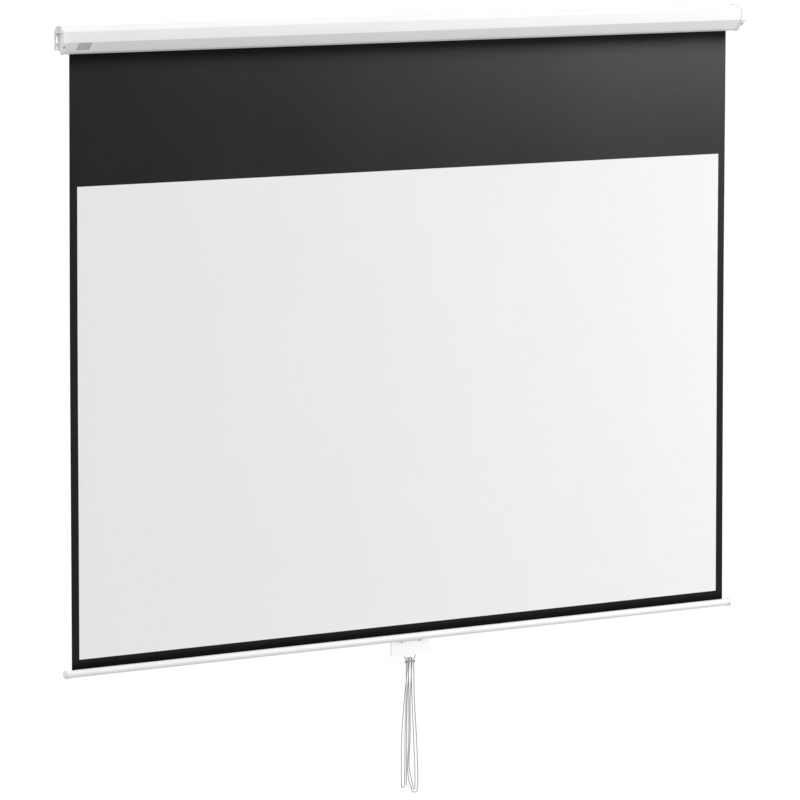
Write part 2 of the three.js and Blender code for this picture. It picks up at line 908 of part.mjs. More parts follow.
function handlePlate() {
  const half = handleWidth / 2;
  const tab = handleTabWidth / 2;
  const low = handleLowZ + handleCorner;
  return prism(
    "y",
    [
      ...arc(handleCorner, Math.PI, Math.PI / 2, 5, low, half - handleCorner),
      [handleTopZ, half],
      [handleTopZ, tab],
      [0, tab],
      [0, -tab],
      [handleTopZ, -tab],
      [handleTopZ, -half],
      ...arc(handleCorner, -Math.PI / 2, -Math.PI, 5, low, -half + handleCorner),
    ],
    -handleHalfThick,
    handleHalfThick,
  );
}

function pullHandle() {
  const bracketHalf = bracketWidth / 2 + seatGap;
  const bracketRoom = bracketThickness / 2 + seatGap;
  const pocketHalf = knotPocketWidth / 2;
  const pocketFront = handleHalfThick - knotPocketDepth;
  const cuts = [
    round("x", barRadius + seatGap, -handleWidth, handleWidth, 40, -handleFromBar, 0),
    prism(
      "y",
      rectangle(bracketLowZ - seatGap, -bracketHalf, cutOverrun, bracketHalf),
      -bracketRoom,
      bracketRoom,
    ),
    prism(
      "y",
      rectangle(pocketLowZ, -pocketHalf, pocketLowZ + knotPocketHeight, pocketHalf),
      pocketFront,
      handleHalfThick + cutOverrun,
    ),
  ];
  for (const side of [-1, 1]) {
    const screwX = (side * handleScrewSpacing) / 2;
    const cordX = (side * cordHoleSpacing) / 2;
    const reach = handleHalfThick + cutOverrun;
    const holeTop = pocketLowZ + knotPocketHeight / 2;
    cuts.push(round("y", handleScrewShank / 2 + runGap, -reach, reach, 16, handleScrewZ, screwX));
    cuts.push(round("z", cordHoleDiameter / 2, handleLowZ - cutOverrun, holeTop, 16, cordX, 0));
  }
  const plate = cuts.reduce((body, cut) => body.subtract(solidOf(cut)), solidOf(handlePlate()));
  return named("pull_handle", geometryOf(plate), materials.whitePlastic);
}

// A bent steel strip that hangs in the bar's lower slot by its foot and carries the handle
function handleBracket() {
  const half = bracketWidth / 2;
  const back = bracketThickness / 2;
  const footTop = -bracketUnderAxis;
  const upright = prism("y", rectangle(bracketLowZ, -half, footTop, half), -back, back);
  const foot = prism("x", rectangle(-bracketFoot, footTop - bracketThickness, back, footTop), -half, half);
  let bracket = solidOf(upright).add(solidOf(foot));
  for (const side of [-1, 1]) {
    const screwX = (side * handleScrewSpacing) / 2;
    const hole = round(
      "y",
      handleScrewShank / 2 + seatGap,
      -bracketThickness - cutOverrun,
      bracketThickness,
      16,
      handleScrewZ,
      screwX,
    );
    bracket = bracket.subtract(solidOf(hole));
  }
  return named("handle_bracket", geometryOf(bracket), materials.steel);
}

function handleScrews() {
  return [-1, 1].map((side) => {
    const length = handleThickness - seatGap;
    const screw = panScrew(handleScrewHead, handleScrewHeadHeight, handleScrewShank, length);
    const name = side < 0 ? "handle_screw_left" : "handle_screw_right";
    const mesh = named(name, screw.rotateX(Math.PI / 2), materials.steel);
    mesh.position.set((side * handleScrewSpacing) / 2, -handleHalfThick, handleScrewZ);
    return mesh;
  });
}

// Cord routes: x, forward of the handle's middle plane, and down from the handle's lower edge
const legRoute = [
  [18.5, 0, -11],
  [18.5, 0, -4],
  [18.5, 0, 3],
  [17.2, 0, 6.5],
  [14.8, 0, 10.5],
  [13.5, 0, 13.5],
  [13.5, 0, 16],
];
const leftLegEnd = [13.5, 0, 24];
const hankRuns = [
  [
    [13.5, 0, 16.3],
    [13.5, 0, 22],
    [15.6, 0, 120],
    [23.3, 0, 230],
    [27.5, 0, 312],
    [27.5, 0, 363],
  ],
  [
    [6, 0, 363],
    [-3.5, 0, 341],
    [-7.3, 0, 312],
    [-3.5, 0, 230],
    [-3.5, 0, 120],
    [-6, 0, 22],
    [-6, 0, 16],
  ],
  [
    [10, 0, 16],
    [10, 0, 22],
    [1.6, -0.6, 120],
    [1.4, -0.6, 230],
    [-1, -2, 306],
    [9, -3.5, 341],
    [14, -4, 357],
  ],
  [
    [9, 11.5, 357],
    [10.5, 9, 312],
    [8, 7, 230],
    [4, 4.5, 120],
    [8, 3.5, 22],
    [8, 3.5, 16],
  ],
  [
    [-9, 3.5, 16],
    [-9, 3.5, 22],
    [-21.8, 3.5, 120],
    [-31.2, 3.5, 230],
    [-31.7, 3.5, 312],
    [-31.5, 3.5, 351],
  ],
  [
    [-15, -3.5, 351],
    [-14.7, -3.5, 312],
    [-14, -3.5, 230],
    [-12, -3.5, 120],
    [-11, -3.5, 22],
    [-11, -3.5, 16],
  ],
  [
    [5, -3.5, 16],
    [5, -3.5, 22],
    [-7.5, -3.5, 120],
    [-8.3, -3.5, 230],
    [-9, -3.5, 312],
    [-9.4, -3.5, 355],
  ],
];

const routePoint = ([x, forward, down]) => new THREE.Vector3(x, -forward, handleLowZ - down);

// The half round that joins the end of one run to the start of the next, bottom and top in turn
function hankTurn(from, to, isBottom) {
  const middle = from.clone().add(to).divideScalar(2);
  const half = to.clone().sub(from).divideScalar(2);
  const depth = isBottom ? -half.length() : half.length();
  return Array.from({ length: turnSteps - 1 }, (_, i) => {
    const turn = (Math.PI * (i + 1)) / turnSteps;
    const place = middle.clone().addScaledVector(half, -Math.cos(turn));
    place.z += depth * Math.sin(turn);
    return place;
  });
}

function hankPoints() {
  const points = [];
  hankRuns.forEach((run, i) => {
    const places = run.map(routePoint);
    if (i > 0) points.push(...hankTurn(points[points.length - 1], places[0], i % 2 === 1));
    points.push(...places);
  });
  return points;
}

// Places along a smooth curve through the points: long stretches get more steps than short ones
function smoothed(points) {
  const curve = new THREE.CatmullRomCurve3(points, false, "centripetal");
  const out = [points[0]];
  for (let i = 1; i < points.length; i += 1) {
    const steps = points[i].distanceTo(points[i - 1]) > longStretch ? runSteps : 1;
    for (let k = 1; k <= steps; k += 1) {
      out.push(curve.getPoint((i - 1 + k / steps) / (points.length - 1)));
    }
  }
  return out;
}

// One closed tube along the places, its rings carried along without twist
function cordTube(places) {
  const tangents = places.map((place, i) => {
    const before = places[Math.max(i - 1, 0)];
    const after = places[Math.min(i + 1, places.length - 1)];
    return after.clone().sub(before).normalize();
  });
  const side = new THREE.Vector3(0, 1, 0);
  const rings = places.map((place, i) => {
    side.addScaledVector(tangents[i], -side.dot(tangents[i])).normalize();
    const other = new THREE.Vector3().crossVectors(tangents[i], side);
    return Array.from({ length: cordSides }, (_, k) => {
      const turn = (2 * Math.PI * k) / cordSides;
      return place
        .clone()
        .addScaledVector(side, (cordDiameter / 2) * Math.cos(turn))
        .addScaledVector(other, (cordDiameter / 2) * Math.sin(turn));
    });
  });
  const corners = rings.flat();
  corners.push(places[0], places[places.length - 1]);
  const first = corners.length - 2;
  const last = corners.length - 1;
  const faces = [];
  for (let k = 0; k < cordSides; k += 1) {
    const next = (k + 1) % cordSides;
    for (let i = 0; i < rings.length - 1; i += 1) {
      const a = i * cordSides;
      const b = a + cordSides;
      faces.push(a + k, a + next, b + next, a + k, b + next, b + k);
    }
    const end = (rings.length - 1) * cordSides;
    faces.push(first, next, k, last, end + k, end + next);
  }
  const geometry = new THREE.BufferGeometry().setFromPoints(corners);
  geometry.setIndex(faces);
  geometry.computeVertexNormals();
  return geometry;
}

// The least distance between two stretches of the cord that aren't neighbours, less its diameter
function leastGap(points) {
  const curve = new THREE.CatmullRomCurve3(points, false, "centripetal");
  curve.arcLengthDivisions = samplesPerPoint * points.length;
  const length = curve.getLength();
  const count = Math.round(length / (cordDiameter / 2));
  const places = curve.getSpacedPoints(count);
  const apart = Math.ceil((Math.PI * cordDiameter) / (length / count));
  let least = Infinity;
  for (let i = 0; i < places.length; i += 1) {
    for (let k = i + apart; k < places.length; k += 1) {
      least = Math.min(least, places[i].distanceTo(places[k]));
    }
  }
  return { gap: least - cordDiameter, length };
}

function cordHank() {
  const points = hankPoints();
  const { gap, length } = leastGap(points);
  console.log(`cord_hank: ${length.toFixed(0)} mm long, least gap to itself ${gap.toFixed(2)} mm`);
  return named("cord_hank", cordTube(smoothed(points)), materials.cord);
}

// A leg of the cord, from its knot in the handle's pocket to the tie
function cordLegs() {
  return [-1, 1].map((side) => {
    const route = side < 0 ? [...legRoute.slice(0, -1), leftLegEnd] : legRoute;
    const points = route.map(([x, forward, down]) => routePoint([side * x, forward, down]));
    const knot = new THREE.SphereGeometry(knotWidth / 2, 12, 8)
      .scale(1, knotDepth / knotWidth, 1)
      .translate(
        (side * cordHoleSpacing) / 2,
        handleHalfThick - knotPocketDepth / 2,
        pocketLowZ + seatGap + knotWidth / 2,
      );
    const leg = solidOf(cordTube(smoothed(points))).add(solidOf(knot));
    return named(side < 0 ? "cord_leg_left" : "cord_leg_right", geometryOf(leg), materials.cord);
  });
}

function roundedBand(width, depth) {
  const radius = depth / 2;
  const out = width / 2 - radius;
  return [
    ...arc(radius, -Math.PI / 2, Math.PI / 2, 8, out, 0),
    ...arc(radius, Math.PI / 2, (3 * Math.PI) / 2, 8, -out, 0),
  ];
}

// The tie: a band round the hank and both legs
function cordTie() {
  const top = handleLowZ - tieDrop + tieHeight / 2;
  const outer = roundedBand(tieInnerWidth + 2 * tieThickness, tieInnerDepth + 2 * tieThickness);
  const inner = roundedBand(tieInnerWidth, tieInnerDepth);
  return named("cord_tie", prism("z", outer, top - tieHeight, top, [inner]), materials.cord);
}

const capBores = {
  left: [bushDiameter + 2 * seatGap, bushBoreFrom],
  right: [holderDiameter + 2 * seatGap, holderBoreFrom],
};

function endCaps() {
  const left = named("end_cap_left", mirrored(endCap(...capBores.left)), materials.whitePlastic);
  const right = named("end_cap_right", endCap(...capBores.right), materials.whitePlastic);
  left.position.x = -capEndX;
  right.position.x = capEndX;
  return [left, right];
}

const screen = new THREE.Group();
screen.add(
  named("case_shell", caseShell(), materials.paintedSteel),
  ...endCaps(),
  ...capScrews(),
  ...shellScrews(),
  barePlate(),
  screenFabric(),
  groupAt(
    0,
    rollerY,
    rollerZ,
    idleBush(),
    rollerTube(),
    fabricWraps(),
    ...idleEnd(),
    springShaft(),
    ...springParts(),
    springPlug(),
    shaftHolder(),
    ratchetWheel(),
    lockHub(),
    ...pawlParts(),
  ),
  groupAt(0, barY, barZ, bottomBar(), hemRod(), ...barCaps()),
  groupAt(0, handleY, barZ, pullHandle(), handleBracket(), ...handleScrews()),
  groupAt(0, handleY, barZ, ...cordLegs(), cordHank(), cordTie()),
);

export default screen;
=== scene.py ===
# A manual pull-down projection screen: its finishes, fabric, cord, knots, tie, screws, light and camera.
# Metres, +Z up; the front faces -Y and the wall is the plane y = 0.
import math

import bmesh
import bpy
import numpy as np
from mathutils import Matrix, Vector


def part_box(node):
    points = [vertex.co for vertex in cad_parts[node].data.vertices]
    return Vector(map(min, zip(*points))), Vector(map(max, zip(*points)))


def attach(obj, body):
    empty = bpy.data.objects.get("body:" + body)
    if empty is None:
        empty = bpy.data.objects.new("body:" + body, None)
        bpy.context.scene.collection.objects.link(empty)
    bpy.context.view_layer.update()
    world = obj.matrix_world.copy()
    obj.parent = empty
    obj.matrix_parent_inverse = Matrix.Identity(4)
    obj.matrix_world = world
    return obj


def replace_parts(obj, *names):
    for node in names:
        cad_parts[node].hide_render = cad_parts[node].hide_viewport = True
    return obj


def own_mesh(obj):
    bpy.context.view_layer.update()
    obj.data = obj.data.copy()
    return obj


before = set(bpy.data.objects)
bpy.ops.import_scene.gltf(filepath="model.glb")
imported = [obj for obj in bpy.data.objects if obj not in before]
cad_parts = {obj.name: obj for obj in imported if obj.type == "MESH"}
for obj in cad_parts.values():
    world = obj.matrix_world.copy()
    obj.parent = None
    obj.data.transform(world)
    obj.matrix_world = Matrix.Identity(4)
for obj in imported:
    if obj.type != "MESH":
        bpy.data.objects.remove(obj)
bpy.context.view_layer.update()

scene = bpy.context.scene
MM = 0.001

# Camera: where it stands, which way it looks, and its lens on a 36 mm sensor
CAMERA_PLACE = Vector((-10.4844, -13.3023, 0.75))
CAMERA_TURN = math.radians(-38.164)
CAMERA_DOWN = math.radians(5.978)
CAMERA_ROLL = math.radians(0.065)
CAMERA_SENSOR = 36.0
CAMERA_LENS = 280.9
CLIP_NEAR = 0.5
CLIP_FAR = 400.0

# Light: the level of the studio all round, and the lamp's place, aim, width, height and power in watts
STUDIO_LEVEL = 1.22
KEY_PLACE = Vector((4.2, -3.6, 0.3))
KEY_AIM = Vector((0.9, 0.0, -0.3))
KEY_WIDTH = 1.2
KEY_HEIGHT = 0.6
KEY_POWER = 102.0

# Floor: a disc, its grey, and the glow that brings it up to white where it is seen
FLOOR_Z = -2.75
FLOOR_RADIUS = 90.0
FLOOR_SIDES = 96
FLOOR_GREY = 0.4
FLOOR_LIFT = 0.54

# Ranges of a share, a wave and nearly all of a noise, and the noise's detail for blotches and for grain
SHARE_RANGE = (0.0, 1.0)
WAVE_RANGE = (-1.0, 1.0)
NOISE_RANGE = (0.3, 0.7)
BLOTCH_DETAIL = 3.0
GRAIN_DETAIL = 2.0

# How much blotches and grain each say in the roughness, and how high grain stands beside a pattern
ROUGHNESS_SHARE = 0.5
GRAIN_BESIDE_PATTERN = 0.5

# Painted shade under a piece that stands over the fabric: how far off the piece dims the fabric's sheen by
# ambient occlusion, the open shares of the view between which the sheen comes back, and how much rougher
# the fabric is made where it is shaded, which dims its sheen further
SHEEN_SHADE_REACH = 100 * MM
SHEEN_SHADE_SAMPLES = 40
SHEEN_SHADE_RANGE = (0.915, 0.955)
SHEEN_SHADE_ROUGHNESS = 0.2

# Pitches of the weave in front and behind and of the cord's braid, and the braid's strands each way
WEAVE_PITCH = 0.9 * MM
BACKING_PITCH = 1.2 * MM
BRAID_PITCH = 3.2 * MM
BRAID_STRANDS = 4

# Fabric
SIDE_BORDER = 24.5 * MM
BOTTOM_BORDER = 25.4 * MM
VIEW_HEIGHT = 1245 * MM
FABRIC_STEP = 24 * MM

# Fabric's waves: the long one's height, how far behind flat they stand in such heights, each one's turn in
# radians for a metre across and a metre up, and the short one's height and start
RIPPLE = 0.5 * MM
RIPPLE_SETBACK = 1.6
LONG_WAVE = (9.1, 1.7)
SHORT_WAVE = (14.3, -4.9)
SHORT_WAVE_SHARE = 0.6
SHORT_WAVE_START = 1.0

# Curl of the fabric's side edges
EDGE_CURL = 0.9 * MM
EDGE_CURL_WIDTH = 60 * MM

# Cord: its thickness and lengths, the step and sides of its tube, the steps of a half round between two
# runs, and the angles of the rings that dome its ends
CORD_DIAMETER = 2.6 * MM
CORD_STEP = 1.3 * MM
CORD_SIDES = 14
TURN_STEPS = 8
DOME_TURNS = [math.radians(turn) for turn in (30, 60, 82)]

# The dome that closes a tube's far end stands this many rings inside it, so that end is a little hollow
HOLLOW_RINGS = 3

# A tube's rings start from the Y axis, or from the X axis where its line sets out this nearly along Y
NEARLY_ALONG = 0.9

# Cord routes in millimetres: x, forward of the handle's middle plane, and down from the handle's lower edge
LEG_ROUTE = [
    (18.5, 0, -11),
    (18.5, 0, -4),
    (18.5, 0, 3),
    (17.2, 0, 6.5),
    (14.8, 0, 10.5),
    (13.5, 0, 13.5),
    (13.5, 0, 16),
]
LEFT_LEG_END = (13.5, 0, 24)
HANK_RUNS = [
    [(13.5, 0, 22), (15.6, 0, 120), (23.3, 0, 230), (27.5, 0, 312), (27.5, 0, 371)],
    [(6, 0, 371), (-3.5, 0, 345), (-7.3, 0, 312), (-3.5, 0, 230),
     (-3.5, 0, 120), (-5, 0, 22), (-5, 0, 12)],
    [(7.5, 0, 12), (7.5, 0, 22), (1.6, -0.6, 120), (1.4, -0.6, 230),
     (-1, -2, 306), (9, -3.5, 347), (14, -4, 364)],
    [(9, 11.5, 364), (10.5, 9, 312), (8, 7, 230), (4, 4.5, 120), (1.5, 3.5, 22), (1.5, 3.5, 12)],
    [(-9.9, 3.5, 12), (-9.9, 3.5, 22), (-21.8, 3.5, 120), (-31.2, 3.5, 230),
     (-31.7, 3.5, 312), (-31.5, 3.5, 356)],
    [(-15, -3.5, 356), (-14.7, -3.5, 312), (-14, -3.5, 230), (-10.5, -3.5, 120),
     (-9.9, -3.5, 22), (-9.9, -3.5, 12)],
    [(0.3, -3.5, 12), (0.3, -3.5, 22), (-6.5, -3.5, 120), (-8.3, -3.5, 230),
     (-9, -3.5, 312), (-9.4, -3.5, 361)],
]

# Knots behind the handle, each a trefoil curve, which reaches 3 of its own units to each side
KNOT_WIDTH = 6 * MM
KNOT_DEPTH = 3.6 * MM
KNOT_STEPS = 120
KNOT_CORD = 1.9 * MM
TREFOIL_REACH = 3

# Thread wound round the hank
TIE_DIAMETER = 1.3 * MM
TIE_TURNS = 4
TIE_STEPS = 48

# Cross recess: its arms' half width and reach as shares of the head's radius, its depth as a share of the
# head's height, and how much of the reach and the width is left at its foot
CROSS_WIDTH_SHARE = 0.2
CROSS_REACH_SHARE = 0.62
CROSS_DEPTH_SHARE = 0.7
CROSS_FOOT_REACH = 0.45
CROSS_FOOT_WIDTH = 0.7

# Screw's point: its height and radius as shares of the shank's radius
POINT_HEIGHT_SHARE = 0.2
POINT_RADIUS_SHARE = 0.5

# Thread: its pitch, its least turns, and a turn's form as shares of the pitch and of the shank's radius
THREAD_PITCH = 0.9 * MM
THREAD_LEAST_TURNS = 2
THREAD_FORM = [(0.25, 0.82), (0.6, 1.0), (0.95, 0.82)]

# Screw's head: its radius at the seat, and the heights where its side is widest and where its dome starts,
# as shares of its radius and height; the steps of its dome and the sides of the whole screw
HEAD_SEAT_SHARE = 0.96
HEAD_SIDE_SHARE = 0.12
HEAD_DOME_SHARE = 0.3
HEAD_DOME_STEPS = 8
SCREW_SIDES = 40

# Shares of the head's radius: beyond the first lies only the head, and within the second only the axis
RIM_SHARE = 0.9
AXIS_SHARE = 0.1

# Angle between faces above which an edge stays sharp, and how near two corners of a mesh are to be one
SHARP_ANGLE = math.radians(32)
WELD_REACH = 0.001 * MM

# Widths of the eased edges on the moulded and pressed pieces that show, and the faces across each
EASED_EDGES = {
    "end_cap_left": 0.35 * MM,
    "end_cap_right": 0.35 * MM,
    "pull_handle": 0.6 * MM,
    "label_plate": 0.15 * MM,
}
EASED_FACES = 2

NODE_FINISHES = {
    "case_paint": ["case_shell"],
    "bar_paint": ["bottom_bar"],
    "white_plastic": ["end_cap_left", "end_cap_right", "bar_cap_left", "bar_cap_right"],
    "handle_plastic": ["pull_handle"],
    "grey_plate": ["label_plate"],
    "aluminium": ["roller_tube"],
    "black_backing": ["fabric_wraps"],
    "dark_acetal": ["idle_bush", "idle_plug", "spring_plug", "lock_hub", "hem_rod"],
    "steel": [
        "idle_pin",
        "spring_shaft",
        "spring_collar",
        "torsion_spring",
        "shaft_holder",
        "ratchet_wheel",
        "lock_pawl_lower",
        "lock_pawl_upper",
        "pawl_pin_lower",
        "pawl_pin_upper",
        "handle_bracket",
    ],
}


# Camera


def add_camera():
    forward = Vector(
        (
            -math.sin(CAMERA_TURN) * math.cos(CAMERA_DOWN),
            math.cos(CAMERA_TURN) * math.cos(CAMERA_DOWN),
            -math.sin(CAMERA_DOWN),
        )
    )
    level = Vector((math.cos(CAMERA_TURN), math.sin(CAMERA_TURN), 0))
    above = level.cross(forward)
    right = math.cos(CAMERA_ROLL) * level + math.sin(CAMERA_ROLL) * above
    up = math.cos(CAMERA_ROLL) * above - math.sin(CAMERA_ROLL) * level
    data = bpy.data.cameras.new("camera")
    data.sensor_width = CAMERA_SENSOR
    data.lens = CAMERA_LENS
    data.clip_start = CLIP_NEAR
    data.clip_end = CLIP_FAR
    camera = bpy.data.objects.new("camera", data)
    scene.collection.objects.link(camera)
    turned = Matrix((right, up, -forward)).transposed().to_4x4()
    camera.matrix_world = Matrix.Translation(CAMERA_PLACE) @ turned
    scene.camera = camera


# Node helpers


def add(tree, kind, inputs=None, **settings):
    """A new node; an input is a value, or an output of another node."""
    made = tree.nodes.new(kind)
    for name, value in settings.items():
        setattr(made, name, value)
    for name, value in (inputs or {}).items():
        if isinstance(value, bpy.types.NodeSocket):
            tree.links.new(value, made.inputs[name])
        else:
            made.inputs[name].default_value = value
    return made


def sum_of(tree, *values, operation="ADD"):
    """The values put together one after another by a Math node."""
    total = values[0]
    for value in values[1:]:
        total = add(tree, "ShaderNodeMath", {0: total, 1: value}, operation=operation).outputs[0]
    return total


def product_of(tree, *values):
    return sum_of(tree, *values, operation="MULTIPLY")


def noise(tree, place, size, detail, stretch=(1, 1, 1)):
    """Noise whose features are about size metres across, drawn out along an axis by its stretch."""
    shrink = [1 / s for s in stretch]
    scaled = add(tree, "ShaderNodeMapping", {"Vector": place, "Scale": shrink}).outputs[0]
    inputs = {"Vector": scaled, "Scale": 1 / size, "Detail": detail}
    return add(tree, "ShaderNodeTexNoise", inputs).outputs["Fac"]


def ranged(tree, value, low, high, given=NOISE_RANGE):
    """The value moved from its given range to the range from low to high, and held within it."""
    inputs = {"Value": value, "From Min": given[0], "From Max": given[1], "To Min": low, "To Max": high}
    return add(tree, "ShaderNodeMapRange", inputs).outputs["Result"]


def wave(tree, value, pitch):
    """A sine of the value, one wave to a pitch, from -1 to 1."""
    turned = product_of(tree, value, 2 * math.pi / pitch)
    return add(tree, "ShaderNodeMath", {0: turned}, operation="SINE").outputs[0]


def woven(pitch):
    """A plain weave over the sheet: threads across and down, from 0 to 1."""

    def pattern(tree, place):
        axes = add(tree, "ShaderNodeSeparateXYZ", {0: place}).outputs
        crossed = product_of(tree, wave(tree, axes["X"], pitch), wave(tree, axes["Z"], pitch))
        return ranged(tree, crossed, *SHARE_RANGE, WAVE_RANGE)

    return pattern


def braided(pitch, strands):
    """Strands that cross round a cord, from the tube's own map of metres along it and turns round it."""

    def pattern(tree, place):
        spot = add(tree, "ShaderNodeUVMap", uv_map="cord").outputs[0]
        along = add(tree, "ShaderNodeSeparateXYZ", {0: spot}).outputs
        length = product_of(tree, along["X"], 1 / pitch)
        turns = product_of(tree, along["Y"], strands)
        one_way = wave(tree, sum_of(tree, length, turns), 1.0)
        other_way = wave(tree, sum_of(tree, length, product_of(tree, turns, -1.0)), 1.0)
        return ranged(tree, product_of(tree, one_way, other_way), *SHARE_RANGE, WAVE_RANGE)

    return pattern


# Finishes


def finish(
    name,
    *,
    grey,
    rough,
    grain,
    relief,
    tone=0.015,
    rough_spread=0.05,
    blotch=120 * MM,
    stretch=(1, 1, 1),
    metal=0.0,
    gloss=0.5,
    pattern=None,
    pattern_hollow_shade=0.0,
    painted_sheen_shade=False,
):
    """A material: a grey that varies a little over the surface, with a relief of grain and of any pattern.

    Where asked, a painted shade dims the finish's sheen and raises its roughness close under a piece that
    stands over it, by ambient occlusion.
    """
    material = bpy.data.materials.new(name)
    material.use_nodes = True
    tree = material.node_tree
    tree.nodes.clear()
    place = add(tree, "ShaderNodeTexCoord").outputs["Object"]
    blotches = noise(tree, place, blotch, BLOTCH_DETAIL)
    fine = noise(tree, place, grain, GRAIN_DETAIL, stretch)
    colour = ranged(tree, blotches, grey * (1 - tone), grey * (1 + tone))
    height = fine
    if pattern is not None:
        drawn = pattern(tree, place)
        height = sum_of(tree, drawn, product_of(tree, fine, GRAIN_BESIDE_PATTERN))
        # Painted shade in the pattern's hollows: the colour is darker where the pattern's relief is low
        colour = product_of(tree, colour, ranged(tree, drawn, 1 - pattern_hollow_shade, 1.0, SHARE_RANGE))
    bump = add(tree, "ShaderNodeBump", {"Strength": 1.0, "Distance": relief, "Height": height})
    shares = [product_of(tree, part, ROUGHNESS_SHARE) for part in (blotches, fine)]
    roughness = ranged(tree, sum_of(tree, *shares), rough - rough_spread, rough + rough_spread)
    # Painted shade: ambient occlusion makes the surface rougher close under a piece above, dimming its
    # sheen
    if painted_sheen_shade:
        occlusion = {"Distance": SHEEN_SHADE_REACH}
        openness = add(tree, "ShaderNodeAmbientOcclusion", occlusion, samples=SHEEN_SHADE_SAMPLES).outputs["AO"]
        roughened = ranged(tree, openness, SHEEN_SHADE_ROUGHNESS, 0.0, SHEEN_SHADE_RANGE)
        roughness = sum_of(tree, roughness, roughened)
    shader = add(
        tree,
        "ShaderNodeBsdfPrincipled",
        {
            "Base Color": colour,
            "Roughness": roughness,
            "Metallic": metal,
            "Specular IOR Level": gloss,
            "Normal": bump.outputs[0],
        },
    )
    # Painted shade: ambient occlusion turns the sheen's tint down to none close under a piece above
    if painted_sheen_shade:
        sheen = ranged(tree, openness, *SHARE_RANGE, SHEEN_SHADE_RANGE)
        tree.links.new(sheen, shader.inputs["Specular Tint"])
    add(tree, "ShaderNodeOutputMaterial", {"Surface": shader.outputs[0]})
    return material


FINISH_VALUES = {
    "case_paint": dict(grey=0.755, rough=0.45, grain=1.6 * MM, relief=0.02 * MM, gloss=0.2),
    "bar_paint": dict(grey=0.78, rough=0.32, grain=1.4 * MM, relief=0.02 * MM),
    "white_plastic": dict(grey=0.78, rough=0.4, grain=0.7 * MM, relief=0.03 * MM),
    "handle_plastic": dict(grey=0.92, rough=0.3, grain=0.7 * MM, relief=0.02 * MM),
    "grey_plate": dict(
        grey=0.4, rough=0.4, grain=0.35 * MM, relief=0.01 * MM, stretch=(40, 1, 1), metal=0.6, tone=0.05
    ),
    "screw_steel": dict(
        grey=0.32, rough=0.34, grain=0.4 * MM, relief=0.01 * MM, metal=1.0, tone=0.08, blotch=3 * MM
    ),
    "steel": dict(
        grey=0.45, rough=0.36, grain=0.5 * MM, relief=0.01 * MM, metal=1.0, tone=0.08, blotch=12 * MM
    ),
    "aluminium": dict(
        grey=0.6, rough=0.38, grain=0.4 * MM, relief=0.01 * MM, stretch=(60, 1, 1), metal=1.0, tone=0.04
    ),
    "dark_acetal": dict(grey=0.03, rough=0.45, grain=0.8 * MM, relief=0.02 * MM),
    "view_surface": dict(
        grey=0.775,
        rough=0.9,
        grain=1.1 * MM,
        relief=0.05 * MM,
        tone=0.006,
        blotch=300 * MM,
        gloss=0.25,
        pattern=woven(WEAVE_PITCH),
    ),
    "black_surface": dict(
        grey=0.003,
        rough=0.3,
        grain=1.1 * MM,
        relief=0.04 * MM,
        tone=0.05,
        blotch=300 * MM,
        gloss=0.145,
        pattern=woven(WEAVE_PITCH),
        # painted shade: the black's sheen is dimmed close under the case
        painted_sheen_shade=True,
    ),
    "black_backing": dict(
        grey=0.016,
        rough=0.75,
        grain=1.4 * MM,
        relief=0.08 * MM,
        tone=0.06,
        blotch=200 * MM,
        gloss=0.3,
        pattern=woven(BACKING_PITCH),
    ),
    "cord": dict(
        grey=0.45,
        rough=0.85,
        grain=0.25 * MM,
        relief=0.18 * MM,
        tone=0.04,
        blotch=20 * MM,
        gloss=0.2,
        pattern=braided(BRAID_PITCH, BRAID_STRANDS),
        pattern_hollow_shade=0.22,
    ),
}
FINISHES = {name: finish(name, **values) for name, values in FINISH_VALUES.items()}


# Mesh helpers


def smoothing_tree():
    """A node group that shades smooth, apart from edges sharper than SHARP_ANGLE."""
    tree = bpy.data.node_groups.new("smooth_by_angle", "GeometryNodeTree")
    tree.interface.new_socket("Geometry", in_out="INPUT", socket_type="NodeSocketGeometry")
    tree.interface.new_socket("Geometry", in_out="OUTPUT", socket_type="NodeSocketGeometry")
    given = add(tree, "NodeGroupInput").outputs[0]
    angle = add(tree, "GeometryNodeInputMeshEdgeAngle").outputs["Unsigned Angle"]
    over = {0: angle, 1: SHARP_ANGLE}
    sharp = add(tree, "FunctionNodeCompare", over, operation="GREATER_THAN").outputs[0]
    smooth = add(tree, "GeometryNodeSetShadeSmooth", {"Geometry": given, "Shade Smooth": True}).outputs[0]
    edges = add(
        tree,
        "GeometryNodeSetShadeSmooth",
        {"Geometry": smooth, "Selection": sharp, "Shade Smooth": False},
        domain="EDGE",
    ).outputs[0]
    add(tree, "NodeGroupOutput", {0: edges})
    return tree


SMOOTHING = smoothing_tree()


def smoothed(piece):
    piece.modifiers.new("smooth", "NODES").node_group = SMOOTHING
    return piece


def dress_cad_nodes():
    """Gives the CAD nodes that show their finishes, smooth shading and eased edges."""
    for slot, names in NODE_FINISHES.items():
        for name in names:
            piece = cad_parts[name]
            for held in piece.material_slots:
                held.material = FINISHES[slot]
            piece.modifiers.new("weld", "WELD").merge_threshold = WELD_REACH
            if name in EASED_EDGES:
                eased = piece.modifiers.new("eased", "BEVEL")
                eased.width = EASED_EDGES[name]
                eased.segments = EASED_FACES
                eased.limit_method = "ANGLE"
                eased.angle_limit = SHARP_ANGLE
            smoothed(piece)
            if name in EASED_EDGES:
                piece.modifiers.new("flat_faces", "WEIGHTED_NORMAL").keep_sharp = True


def new_object(name, mesh):
    made = bpy.data.objects.new(name, mesh)
    scene.collection.objects.link(made)
    return made


